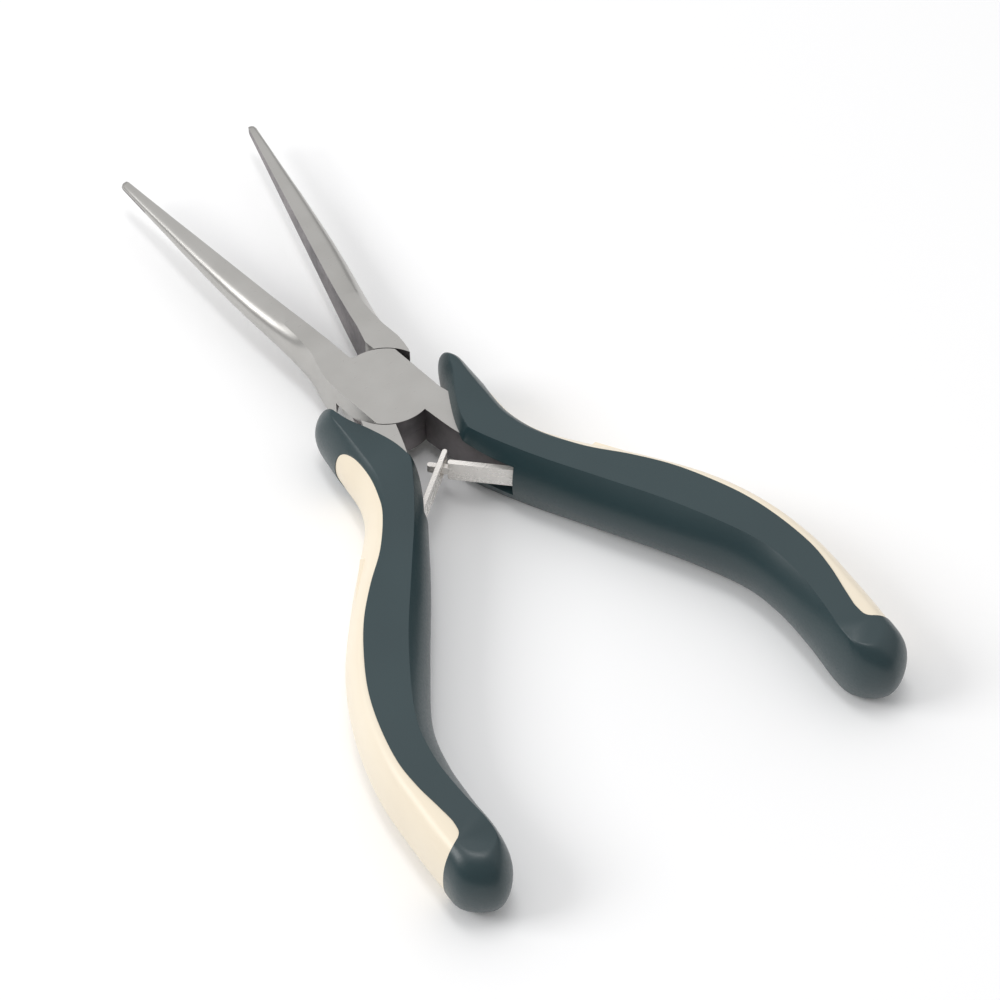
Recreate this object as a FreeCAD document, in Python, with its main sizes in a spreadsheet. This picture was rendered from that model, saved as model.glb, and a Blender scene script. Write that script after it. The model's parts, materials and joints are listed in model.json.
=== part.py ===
import FreeCAD, Part
import Sketcher
import math
import os
from FreeCAD import Placement, Rotation, Vector

# Needle nose pliers with a lap joint, two interlocking leaf springs and two-part grips.
# All lengths are in millimetres and all angles in degrees.
# Each half is drawn closed, with its jaw face on the Y axis and the pivot at X = Y = 0.
# It is then turned about the pivot by half of the opening. The pliers lie flat, with Z up.

doc = FreeCAD.newDocument("needle_nose_pliers")

# ---------------------------------------------------------------- driving sizes

sizes = {
    "jaw_reach": 60.0,          # pivot axis to the jaw tips
    "handle_reach": 85.5,       # pivot axis to the handle ends, closed
    "half_opening": 10.3,       # turn of each half away from closed, at rest
    "metal_thickness": 7.0,     # both lapped halves together
    "disc_radius": 7.2,         # round part of the lap joint
    "disc_half_width": 5.7,     # pivot to the flats on the joint's sides
    "joint_gap": 0.15,          # disc rim to the shoulder around it
    "layer_gap": 0.04,          # between the two lapped faces
    "jaw_gap": 0.04,            # jaw face to the centre line, closed
    "jaw_relief": 0.25,         # the same, beside the joint
    "crotch_radius": 0.7,       # fillet between jaw face and disc
    "jaw_root_setback": 0.8,    # disc rim to where the jaw's root starts
    "cheek_length": 2.3,        # disc rim to the end of the joint's own outline
    "grind_setback": 5.1,       # disc rim to the line where the jaw's flats start
    "jaw_root_width": 4.6,      # jaw width at that line
    "jaw_tip_width": 1.35,      # jaw width at the tip
    "jaw_tip_thickness": 1.3,   # jaw thickness at the tip
    "jaw_nose": 0.15,           # rounding of the very tip
    "tang_thickness": 5.0,      # metal inside the grips
    "rivet_radius": 2.4,
    "rivet_head_radius": 3.3,
    "rivet_head_depth": 0.9,
    "rivet_gap": 0.05,          # running clearance in the lower half
    "leaf_width": 3.6,          # spring leaf, measured along Z
    "leaf_thickness": 0.8,
    "leaf_root_x": 8.0,         # where a leaf leaves its grip, at rest
    "leaf_root_y": -21.8,
    "leaf_meeting_y": -15.0,    # where the two leaves cross, at rest
    "leaf_stub": 1.6,           # leaf held inside its slot
    "leaf_flex": 17.0,          # bend of a leaf when the jaws close
    "shoulder_setback": 1.0,    # tongue leaf's shoulders to the crossing
    "tongue_width": 1.4,
    "tongue_reach": 2.0,        # tongue past the crossing
    "window_reach": 1.5,        # window past the crossing, each way
    "window_gap": 0.3,          # tongue edge to window edge
    "leaf_end_reach": 2.3,      # window leaf past the crossing
    "grip_thickness": 12.0,
    "channel_gap": 1.4,         # leaf edge to the side of its channel
    "slot_gap": 0.3,            # leaf edge to the end of its root's slot
    "sleeve_wall": 1.2,         # hard core around the tang
}

sheet = doc.addObject("Spreadsheet::Sheet", "Sizes")
for row, (word, value) in enumerate(sizes.items(), start=1):
    sheet.set("A%d" % row, word)
    sheet.set("B%d" % row, str(value))
    sheet.setAlias("B%d" % row, word)
doc.recompute()

HALF_OPENING = sizes["half_opening"]
METAL = sizes["metal_thickness"]
DISC = sizes["disc_radius"]
FLAT = sizes["disc_half_width"]
SHOULDER = DISC + sizes["joint_gap"]
MIDDLE = sizes["grip_thickness"] / 2
METAL_TOP = MIDDLE + METAL / 2
METAL_BOTTOM = MIDDLE - METAL / 2

# The same heights written for the sheet.
MIDDLE_WORDS = "Sizes.grip_thickness / 2"
METAL_TOP_WORDS = "(Sizes.grip_thickness + Sizes.metal_thickness) / 2"
METAL_BOTTOM_WORDS = "(Sizes.grip_thickness - Sizes.metal_thickness) / 2"

# ---------------------------------------------------------------- handle outlines
# Right handle, closed, seen from above. The left handle is its mirror image.
# The first row is the guard's point; the last is the front inner corner.
# Every row is (widest line at mid height, edge of the flat top face, softness of the side).
# A side of softness 0 meets the flat top in a crease; at 1 it runs into it smoothly.

HANDLE_AROUND = [
    ((10.4, -0.2), (9.5, -3.3), 0.2),
    ((12.0, -2.4), (9.8, -4.8), 0.2),
    ((11.8, -6.2), (9.2, -7.5), 0.2),
    ((11.2, -11.2), (8.4, -11.8), 0.2),
    ((10.7, -16.2), (7.7, -16.8), 0.2),
    ((11.6, -21.2), (8.4, -22.1), 0.3),
    ((14.5, -26.8), (11.2, -28.4), 0.4),
    ((18.9, -34.8), (16.2, -35.8), 0.5),
    ((23.2, -44.0), (20.9, -45.0), 0.6),
    ((25.4, -53.0), (23.2, -53.6), 0.7),
    ((25.8, -62.6), (23.3, -62.4), 0.8),
    ((24.6, -71.6), (21.7, -71.0), 0.8),
    ((23.2, -78.4), (20.5, -77.0), 0.8),
    ((21.8, -83.4), (19.3, -80.0), 0.7),
    ((17.1, -85.5), (16.9, -81.0), 0.5),
    ((13.9, -82.2), (15.2, -79.4), 0.3),
    ((13.6, -77.1), (15.3, -76.5), 0.1),
    ((14.7, -70.9), (16.8, -71.2), 0.0),
    ((15.6, -63.8), (18.1, -64.6), 0.0),
    ((15.1, -56.5), (17.8, -57.0), 0.0),
    ((11.5, -46.5), (14.2, -45.5), 0.0),
    ((7.1, -35.7), (9.6, -34.8), 0.0),
    ((4.1, -27.4), (6.1, -26.9), 0.0),
    ((1.9, -20.8), (3.6, -20.3), 0.0),
    ((1.1, -15.0), (2.2, -15.2), 0.2),
]

# The slanted front face, from the front inner corner back to the guard's point.
HANDLE_FRONT = [
    ((1.1, -15.0), (2.2, -15.2), 0.2),
    ((2.8, -11.2), (3.6, -11.9), 0.2),
    ((5.1, -7.5), (5.8, -8.6), 0.2),
    ((7.2, -4.5), (7.9, -6.0), 0.2),
    ((10.4, -0.2), (9.5, -3.3), 0.2),
]

# Where the light pad on the outer side meets the dark cover.
PAD_EDGE = [
    (13.0, -9.3),
    (10.9, -9.2),
    (9.5, -11.8),
    (8.7, -15.8),
    (8.8, -19.8),
    (9.6, -23.7),
    (12.2, -29.5),
    (15.6, -34.6),
    (18.5, -39.7),
    (20.6, -45.0),
    (22.3, -51.0),
    (23.0, -56.9),
    (22.9, -63.3),
    (21.9, -68.1),
    (20.4, -72.5),
    (19.5, -75.6),
    (20.0, -77.8),
    (24.2, -80.6),
]

# The two sides of the steel tang inside the handle.
TANG_INNER = [
    (1.8, -13.5),
    (3.3, -18.2),
    (5.5, -22.8),
    (10.0, -32.2),
    (14.0, -40.4),
    (17.4, -48.5),
    (19.3, -55.6),
    (19.6, -60.8),
    (19.3, -64.2),
]
TANG_OUTER = [
    (22.4, -64.4),
    (23.0, -61.0),
    (23.1, -55.5),
    (21.5, -46.9),
    (18.4, -38.4),
    (14.3, -29.6),
    (10.3, -21.8),
    (7.9, -15.0),
    (6.4, -9.0),
]

# Shares of the half thickness at which the handle's outline is drawn.
HANDLE_LEVELS = (-1.0, -0.96, -0.86, -0.5, 0.0, 0.5, 0.86, 0.96, 1.0)

# The outlines above are drawn for a handle that reaches this far behind the pivot.
DRAWN_REACH = 85.5
HANDLE_START = -15.0
HANDLE_STRETCH = (sizes["handle_reach"] + HANDLE_START) / (DRAWN_REACH + HANDLE_START)


def stretched(point):
    """Lengthen the handle behind the joint, and leave the front alone."""
    x, y = point
    if y < HANDLE_START:
        y = HANDLE_START + (y - HANDLE_START) * HANDLE_STRETCH
    return x, y


def mirrored(points, side):
    """Points of the right handle, or their mirror image for side -1."""
    return [(side * x, y) for x, y in (stretched(p) for p in points)]


# ---------------------------------------------------------------- small helpers


def new_body(name):
    body = doc.addObject("PartDesign::Body", name)
    body.Label = name
    return body


def new_sketch(body, name, role="XY_Plane", height=None):
    """A sketch on one of the body's own planes, raised by a sheet expression."""
    sketch = body.newObject("Sketcher::SketchObject", name)
    for feature in body.Origin.OriginFeatures:
        if feature.Role == role:
            sketch.AttachmentSupport = [(feature, "")]
    sketch.MapMode = "FlatFace"
    if height is not None:
        sketch.setExpression("AttachmentOffset.Base.z", height)
    sketch.Visibility = False
    return sketch


def flat(point):
    return Vector(point[0], point[1], 0)


def line(start, end):
    return Part.LineSegment(flat(start), flat(end))


def arc(start, middle, end):
    return Part.Arc(flat(start), flat(middle), flat(end))


def curve(points, stops=None):
    """A smooth curve through the points; stops fixes how it is paced."""
    spline = Part.BSplineCurve()
    if stops is None:
        spline.interpolate([flat(p) for p in points])
    else:
        spline.interpolate(Points=[flat(p) for p in points], Parameters=stops)
    return spline


def draw(sketch, pieces):
    """Add the pieces of a closed outline and join each end to the next start."""
    ends = []
    for index, piece in enumerate(pieces):
        sketch.addGeometry(piece, False)
        kept = sketch.getPoint(index, 1).distanceToPoint(piece.StartPoint) < 1e-6
        # An arc drawn clockwise is stored the other way round.
        ends.append((1, 2) if kept else (2, 1))
    count = len(pieces)
    for index in range(count):
        after = (index + 1) % count
        finish = ends[index][1]
        start = ends[after][0]
        sketch.addConstraint(Sketcher.Constraint("Coincident", index, finish, after, start))


def draw_polygon(sketch, points):
    draw(sketch, [line(p, q) for p, q in zip(points, points[1:] + points[:1])])


def draw_circle(sketch, radius_words, radius):
    """A circle about the pivot, its radius bound to the sheet."""
    circle = Part.Circle(Vector(0, 0, 0), Vector(0, 0, 1), radius)
    sketch.addGeometry(circle, False)
    sketch.addConstraint(Sketcher.Constraint("Coincident", 0, 3, -1, 1))
    row = sketch.addConstraint(Sketcher.Constraint("Radius", 0, radius))
    sketch.setExpression("Constraints[%d]" % row, radius_words)


def pad(body, name, sketch, length_words):
    feature = body.newObject("PartDesign::Pad", name)
    feature.Profile = sketch
    feature.setExpression("Length", length_words)
    return feature


def pocket(body, name, sketch, depth_words):
    """Cut downwards from the sketch."""
    feature = body.newObject("PartDesign::Pocket", name)
    feature.Profile = sketch
    feature.setExpression("Length", depth_words)
    return feature


def turned(side):
    """Placement of one half at rest: +1 has its handle on the right."""
    return Placement(Vector(0, 0, 0), Rotation(Vector(0, 0, 1), side * HALF_OPENING))


def on_arc(radius, angle):
    return radius * math.cos(math.radians(angle)), radius * math.sin(math.radians(angle))


def angle_of(point):
    return math.degrees(math.atan2(point[1], point[0]))


# ---------------------------------------------------------------- steel halves


def head_outline(side):
    """Jaw root and disc, from above, for the half with its handle on this side."""
    relief = sizes["jaw_relief"]
    fillet = sizes["crotch_radius"]
    flat_end = math.sqrt(DISC ** 2 - FLAT ** 2)
    root = DISC + sizes["cheek_length"]
    rise = math.sqrt((DISC + fillet) ** 2 - (fillet - relief) ** 2)
    centre = (fillet - relief, rise)
    share = DISC / (DISC + fillet)
    fillet_end = (centre[0] * share, centre[1] * share)
    sweep = angle_of((-centre[0], -centre[1])) + 360
    middle_angle = (180 + sweep) / 2
    bend = on_arc(fillet, middle_angle)
    fillet_middle = (centre[0] + bend[0], centre[1] + bend[1])
    upper = (angle_of(fillet_end) + angle_of((FLAT, flat_end))) / 2
    points = {
        "face_top": (-relief, root),
        "face_end": (-relief, rise),
        "fillet_middle": fillet_middle,
        "fillet_end": fillet_end,
        "disc_top": on_arc(DISC, upper),
        "right_top": (FLAT, flat_end),
        "right_low": (FLAT, -flat_end),
        "disc_low": (0, -DISC),
        "left_low": (-FLAT, -flat_end),
        "left_top": (-FLAT, flat_end + 0.5),
        "cheek": (-FLAT + 0.16, DISC - 0.4),
        "root_out": (-FLAT + 0.62, root),
    }
    p = {word: (side * x, y) for word, (x, y) in points.items()}
    return [
        line(p["face_top"], p["face_end"]),
        arc(p["face_end"], p["fillet_middle"], p["fillet_end"]),
        arc(p["fillet_end"], p["disc_top"], p["right_top"]),
        line(p["right_top"], p["right_low"]),
        arc(p["right_low"], p["disc_low"], p["left_low"]),
        line(p["left_low"], p["left_top"]),
        arc(p["left_top"], p["cheek"], p["root_out"]),
        line(p["root_out"], p["face_top"]),
    ]


def tang_outline(side):
    """The tang, from inside the disc to its rounded end in the handle."""
    notch_x = 1.25
    notch = (notch_x, -math.sqrt(DISC ** 2 - notch_x ** 2))
    start = (notch_x - 0.1, notch[1] + 2.0)
    side_low = (FLAT, -5.5)
    side_top = (FLAT, -2.5)
    inner = mirrored([notch] + TANG_INNER, side)
    outer = mirrored(TANG_OUTER + [side_low], side)
    end_middle = ((inner[-1][0] + outer[0][0]) / 2, inner[-1][1] - 1.9)
    start = (side * start[0], start[1])
    side_top = (side * side_top[0], side_top[1])
    return [
        line(start, inner[0]),
        curve(inner),
        arc(inner[-1], end_middle, outer[0]),
        curve(outer),
        line(outer[-1], side_top),
        line(side_top, start),
    ]


def add_tang(body, tag, side):
    """Full thickness near the joint, thinner where the hard core holds it."""
    sketch = new_sketch(body, "tang_line_" + tag, height=METAL_BOTTOM_WORDS)
    draw(sketch, tang_outline(side))
    pad(body, "tang_" + tag, sketch, "Sizes.metal_thickness")
    step_depth = "(Sizes.metal_thickness - Sizes.tang_thickness) / 2"
    near = -26.0
    far = -sizes["handle_reach"] - 20
    wide = 40.0
    step = [(-3, near), (wide, near), (wide, far), (-3, far)]
    for level, height in (("top", METAL_TOP_WORDS),
                          ("low", METAL_BOTTOM_WORDS + " + " + step_depth)):
        sketch = new_sketch(body, "tang_step_%s_%s" % (level, tag), height=height)
        draw_polygon(sketch, [(side * x, y) for x, y in step])
        pocket(body, "tang_thin_%s_%s" % (level, tag), sketch, step_depth)


def jaw_section(body, name, side, ahead_words, face, width, bulge, thickness):
    """A D-shaped slice of a jaw: flat gripping face, flat top, round outer side."""
    sketch = new_sketch(body, name, "XZ_Plane", "-1 * (%s)" % ahead_words)
    sketch.setExpression("AttachmentOffset.Base.y", MIDDLE_WORDS)
    half = thickness / 2
    face_low = (-side * face, -half)
    face_top = (-side * face, half)
    out_top = (-side * (width - bulge), half)
    out_low = (-side * (width - bulge), -half)
    outmost = (-side * width, 0)
    draw(sketch, [
        line(face_low, face_top),
        line(face_top, out_top),
        arc(out_top, outmost, out_low),
        line(out_low, face_low),
    ])
    return sketch


def add_jaw(body, tag, side):
    """The long tapering jaw, ground flat on top and bottom from a line near its root."""
    relief = sizes["jaw_relief"]
    gap = sizes["jaw_gap"]
    root_width = sizes["jaw_root_width"]
    tip_width = sizes["jaw_tip_width"]
    tip = sizes["jaw_tip_thickness"]
    span = root_width - tip_width
    drop = METAL - tip
    # Shares: along the ground length, of the width lost, bulge, of the thickness lost.
    stations = [
        (0.00, 0.00, 0.85, 0.00, relief),
        (0.09, 0.05, 1.45, 0.17, 0.12),
        (0.21, 0.10, 1.85, 0.38, gap),
        (0.40, 0.21, 1.75, 0.56, gap),
        (0.65, 0.51, 1.40, 0.76, gap),
        (0.86, 0.82, 0.95, 0.93, gap),
        (0.985, 1.00, 0.75, 1.00, gap),
    ]
    start = jaw_section(body, "jaw_root_" + tag, side,
                        "Sizes.disc_radius + Sizes.jaw_root_setback",
                        relief, FLAT - 0.35, 0.15, METAL)
    sections = []
    for index, (along, narrowing, bulge, thinning, face) in enumerate(stations):
        words = "%g * (Sizes.disc_radius + Sizes.grind_setback)" % (1 - along)
        words += " + %g * Sizes.jaw_reach" % along
        sections.append(jaw_section(
            body, "jaw_%d_%s" % (index, tag), side, words,
            face, root_width - narrowing * span, bulge, METAL - thinning * drop))
    nose = jaw_section(body, "jaw_nose_" + tag, side, "Sizes.jaw_reach",
                       gap + sizes["jaw_nose"], tip_width * 0.72, 0.4, tip * 0.6)
    root = body.newObject("PartDesign::AdditiveLoft", "jaw_root_form_" + tag)
    root.Profile = start
    root.Sections = [sections[0]]
    root.Ruled = True
    long = body.newObject("PartDesign::AdditiveLoft", "jaw_form_" + tag)
    long.Profile = sections[0]
    long.Sections = sections[1:]
    long.Ruled = False
    end = body.newObject("PartDesign::AdditiveLoft", "jaw_nose_form_" + tag)
    end.Profile = sections[-1]
    end.Sections = [nose]
    end.Ruled = True


def add_lap(body, tag, side, upper):
    """Clear the other half's disc out of this half's other layer."""
    half_layer = "(Sizes.metal_thickness + Sizes.layer_gap) / 2"
    height = MIDDLE_WORDS + " + Sizes.layer_gap / 2" if upper else METAL_TOP_WORDS
    sketch = new_sketch(body, "lap_circle_" + tag, height=height)
    draw_circle(sketch, "Sizes.disc_radius + Sizes.joint_gap", SHOULDER)
    pocket(body, "lap_" + tag, sketch, half_layer)
    # Corner cut that lets the other half's crotch fillet in when the jaws close.
    sketch = new_sketch(body, "lap_corner_line_" + tag, height=height)
    relief = sizes["jaw_relief"]
    corner = [
        (relief - 0.2, DISC - 0.3),
        (relief + 0.8, DISC - 0.3),
        (relief + 0.7, SHOULDER),
        (relief - 0.2, SHOULDER + 2.2),
    ]
    draw_polygon(sketch, [(-side * x, y) for x, y in corner])
    pocket(body, "lap_corner_" + tag, sketch, half_layer)


def rivet_profile(clearance):
    """Half the rivet's shape: shank, and heads ground flush with both faces."""
    radius = sizes["rivet_radius"] + clearance
    head = sizes["rivet_head_radius"] + clearance
    depth = sizes["rivet_head_depth"]
    return [
        (0, METAL_BOTTOM),
        (head, METAL_BOTTOM),
        (radius, METAL_BOTTOM + depth),
        (radius, METAL_TOP - depth),
        (head, METAL_TOP),
        (0, METAL_TOP),
    ]


def spin(body, kind, name, sketch):
    feature = body.newObject("PartDesign::" + kind, name)
    feature.Profile = sketch
    feature.ReferenceAxis = (sketch, ["V_Axis"])
    feature.Angle = 360
    return feature


def build_half(name, tag, side, upper):
    """One half of the pliers: jaw, its layer of the joint, and tang, in one forging."""
    body = new_body(name)
    sketch = new_sketch(body, "head_line_" + tag, height=METAL_BOTTOM_WORDS)
    draw(sketch, head_outline(side))
    pad(body, "head_" + tag, sketch, "Sizes.metal_thickness")
    add_tang(body, tag, side)
    add_jaw(body, tag, side)
    add_lap(body, tag, side, upper)
    sketch = new_sketch(body, "rivet_hole_line_" + tag, "XZ_Plane")
    clearance = 0 if upper else sizes["rivet_gap"]
    draw_polygon(sketch, rivet_profile(clearance))
    spin(body, "Groove", "rivet_hole_" + tag, sketch)
    body.Placement = turned(side)
    return body


def build_rivet():
    body = new_body("pivot_rivet")
    sketch = new_sketch(body, "rivet_line", "XZ_Plane")
    draw_polygon(sketch, rivet_profile(0))
    spin(body, "Revolution", "rivet", sketch)
    body.Placement = turned(1)
    return body


# ---------------------------------------------------------------- spring leaves


def leaf_length():
    """From the mouth of the slot to the crossing of the two leaves."""
    return math.hypot(sizes["leaf_root_x"], sizes["leaf_meeting_y"] - sizes["leaf_root_y"])


def leaf_lean(side):
    """Direction of the leaf rooted on this side, at rest."""
    rise = sizes["leaf_meeting_y"] - sizes["leaf_root_y"]
    return math.degrees(math.atan2(rise, -side * sizes["leaf_root_x"]))


def leaf_placement(side):
    root = Vector(side * sizes["leaf_root_x"], sizes["leaf_root_y"], MIDDLE)
    return Placement(root, Rotation(Vector(0, 0, 1), leaf_lean(side)))


def add_strip(body, name, reach, width_words):
    """A flat strip along X with a rounded free end, centred on the leaf's own origin."""
    half = sizes["leaf_thickness"] / 2
    back = -sizes["leaf_stub"]
    sketch = new_sketch(body, name + "_line", height="-1 * (%s) / 2" % width_words)
    draw(sketch, [
        line((back, -half), (reach - half, -half)),
        arc((reach - half, -half), (reach, 0), (reach - half, half)),
        line((reach - half, half), (back, half)),
        line((back, half), (back, -half)),
    ])
    pad(body, name, sketch, width_words)


def build_tongue_leaf(side):
    """The leaf whose narrow tongue passes through the other leaf's window."""
    body = new_body("spring_leaf_with_tongue")
    length = leaf_length()
    add_strip(body, "tongue_leaf_blade", length - sizes["shoulder_setback"],
              "Sizes.leaf_width")
    add_strip(body, "tongue", length + sizes["tongue_reach"], "Sizes.tongue_width")
    body.Placement = leaf_placement(side)
    return body


def build_window_leaf(side):
    """The leaf with a window near its free end."""
    body = new_body("spring_leaf_with_window")
    length = leaf_length()
    add_strip(body, "window_leaf_blade", length + sizes["leaf_end_reach"], "Sizes.leaf_width")
    sketch = new_sketch(body, "window_line", "XZ_Plane", "Sizes.leaf_thickness")
    half = sizes["tongue_width"] / 2 + sizes["window_gap"]
    reach = sizes["window_reach"]
    draw_polygon(sketch, [
        (length - reach, -half),
        (length + reach, -half),
        (length + reach, half),
        (length - reach, half),
    ])
    pocket(body, "window", sketch, "2 * Sizes.leaf_thickness")
    body.Placement = leaf_placement(side)
    return body


# ---------------------------------------------------------------- grips


def handle_section(body, tag, side, index, level):
    """The handle's outline at one height."""
    inset_soft = 1 - math.sqrt(max(0.0, 1 - abs(level) ** 3))
    inset_creased = level ** 2
    words = MIDDLE_WORDS + " * %g" % (1 + level)
    sketch = new_sketch(body, "handle_line_%d_%s" % (index, tag), height=words)
    outlines = []
    for pairs in (HANDLE_AROUND, HANDLE_FRONT):
        points = []
        for wide, top, softness in pairs:
            share = softness * inset_soft + (1 - softness) * inset_creased
            points.append((wide[0] + (top[0] - wide[0]) * share,
                           wide[1] + (top[1] - wide[1]) * share))
        stops = [0.0]
        for first, second in zip(pairs, pairs[1:]):
            step = math.hypot(second[0][0] - first[0][0], second[0][1] - first[0][1])
            stops.append(stops[-1] + step)
        stops = [stop / stops[-1] for stop in stops]
        outlines.append(curve(mirrored(points, side), stops))
    draw(sketch, outlines)
    return sketch


def build_handle_form(tag, side):
    """The whole handle: flat top and bottom, softly rounded sides."""
    body = new_body("handle_form_" + tag)
    sections = [handle_section(body, tag, side, index, level)
                for index, level in enumerate(HANDLE_LEVELS)]
    loft = body.newObject("PartDesign::AdditiveLoft", "handle_loft_" + tag)
    loft.Profile = sections[0]
    loft.Sections = sections[1:]
    loft.Ruled = False
    return body


def build_core_form(tag, side):
    """Everything that is hard core: the outer pad and the sleeve around the tang."""
    body = new_body("core_form_" + tag)
    sketch = new_sketch(body, "pad_line_" + tag, height="-1")
    edge = mirrored(PAD_EDGE, side)
    outside = [(side * 45, edge[-1][1]), (side * 45, edge[0][1] + 1.2)]
    draw(sketch, [
        curve(edge),
        line(edge[-1], outside[0]),
        line(outside[0], outside[1]),
        line(outside[1], edge[0]),
    ])
    pad(body, "pad_" + tag, sketch, "Sizes.grip_thickness + 2")
    wall = sizes["sleeve_wall"]
    sleeve_words = "(Sizes.tang_thickness + 2 * Sizes.sleeve_wall)"
    sketch = new_sketch(body, "sleeve_line_" + tag,
                        height=MIDDLE_WORDS + " - " + sleeve_words + " / 2")
    inner = TANG_INNER[3:]
    outer = TANG_OUTER[:-4]
    front_inner = (8.2, -28.5)
    front_outer = (13.7, -28.5)
    left = mirrored([front_inner] + inner, side)
    right = mirrored(outer + [front_outer], side)
    left = [(x - side * wall, y) for x, y in left]
    right = [(x + side * wall, y) for x, y in right]
    end_middle = ((left[-1][0] + right[0][0]) / 2, left[-1][1] - 3.4)
    draw(sketch, [
        curve(left),
        arc(left[-1], end_middle, right[0]),
        curve(right),
        line(right[-1], left[0]),
    ])
    pad(body, "sleeve_" + tag, sketch, sleeve_words)
    return body


def build_channel_form(tag, side):
    """The open channel the leaf moves in, and the narrow slot that holds its root."""
    body = new_body("channel_form_" + tag)
    height_words = "(Sizes.leaf_width + 2 * Sizes.channel_gap)"
    start = MIDDLE_WORDS + " - " + height_words + " / 2"
    # The leaf's root in the closed drawing, and its direction halfway through its bend.
    turn = math.radians(-HALF_OPENING)
    x, y = sizes["leaf_root_x"], sizes["leaf_root_y"]
    root = (x * math.cos(turn) - y * math.sin(turn), x * math.sin(turn) + y * math.cos(turn))
    lean = math.radians(leaf_lean(1) - HALF_OPENING - sizes["leaf_flex"] / 2)
    ahead = (math.cos(lean), math.sin(lean))
    across = (-ahead[1], ahead[0])
    # The channel ends in a square step at the root and runs forward beside the tang.
    step = (root[0] + 1.6, root[1] + 0.6)
    step_end = (step[0] + 9 * across[0], step[1] + 9 * across[1])
    beside_handle = [(-6, -20), (-6, -6)]
    beside_tang = [(2.0, -6), (2.2, -13.5), (3.6, -18.2)]
    channel = [step, step_end] + beside_handle + beside_tang
    sketch = new_sketch(body, "channel_line_" + tag, height=start)
    draw_polygon(sketch, [(side * px, py) for px, py in channel])
    pad(body, "channel_" + tag, sketch, height_words)
    slot_half = sizes["leaf_thickness"] / 2 + 0.65
    slot_front = 1.0
    slot_back = -sizes["leaf_stub"] - 0.7
    corners = []
    for forward, sideways in ((slot_front, -slot_half), (slot_front, slot_half),
                              (slot_back, slot_half), (slot_back, -slot_half)):
        corners.append((root[0] + forward * ahead[0] + sideways * across[0],
                        root[1] + forward * ahead[1] + sideways * across[1]))
    slot_words = "(Sizes.leaf_width + 2 * Sizes.slot_gap)"
    sketch = new_sketch(body, "root_slot_line_" + tag,
                        height=MIDDLE_WORDS + " - " + slot_words + " / 2")
    draw_polygon(sketch, [(side * px, py) for px, py in corners])
    pad(body, "root_slot_" + tag, sketch, slot_words)
    return body


def build_tang_form(tag, side):
    """A copy of the tang that hollows the grip out."""
    body = new_body("tang_form_" + tag)
    add_tang(body, "space_" + tag, side)
    return body


def cut(name, base, tool):
    feature = doc.addObject("Part::Cut", name)
    feature.Base = base
    feature.Tool = tool
    return feature


def build_grip(tag, side, core_name, cover_name):
    """Hard core and soft cover of one handle, moulded around the tang."""
    handle = build_handle_form(tag, side)
    core_form = build_core_form(tag, side)
    channel = build_channel_form(tag, side)
    tang = build_tang_form(tag, side)
    hollow = doc.addObject("Part::Fuse", "hollow_" + tag)
    hollow.Base = tang
    hollow.Tool = channel
    core_solid = doc.addObject("Part::Common", "core_solid_" + tag)
    core_solid.Base = handle
    core_solid.Tool = core_form
    core = cut(core_name, core_solid, hollow)
    shell = cut("shell_" + tag, handle, core_form)
    cover = cut(cover_name, shell, hollow)
    for grip in (core, cover):
        grip.Placement = turned(side)
    return core, cover


# ---------------------------------------------------------------- assembly

upper_half = build_half("upper_half", "upper", 1, True)
lower_half = build_half("lower_half", "lower", -1, False)
rivet = build_rivet()
tongue_leaf = build_tongue_leaf(1)
window_leaf = build_window_leaf(-1)
right_core, right_cover = build_grip("right", 1, "right_grip_core", "right_grip_cover")
left_core, left_cover = build_grip("left", -1, "left_grip_core", "left_grip_cover")
doc.recompute()

nodes = [upper_half, lower_half, rivet, tongue_leaf, window_leaf,
         right_core, right_cover, left_core, left_cover]

for item in doc.Objects:
    if "Invalid" in item.State or "Error" in item.State:
        raise RuntimeError("%s did not build: %s" % (item.Name, item.State))
for node in nodes:
    if node.Shape.isNull() or not node.Shape.isValid():
        raise RuntimeError("%s has no valid shape" % node.Label)

# The origin is the middle of the footprint, on the surface the pliers lie on.
box = FreeCAD.BoundBox()
for node in nodes:
    box.add(node.Shape.BoundBox)
pivot_y = -(box.YMin + box.YMax) / 2
for node in nodes:
    node.Placement = Placement(Vector(0, pivot_y, 0), Rotation()) * node.Placement
doc.recompute()

os.makedirs("parts", exist_ok=True)
for node in nodes:
    node.Shape.exportStep("parts/%s.step" % node.Label)
    print(node.Label, "solids", len(node.Shape.Solids), "volume", round(node.Shape.Volume, 1))
print("pivot at y = %.4f" % pivot_y)
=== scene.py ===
import json
import math

import bmesh
import bpy
from mathutils import Matrix, Vector
from mathutils.geometry import interpolate_bezier


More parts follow.
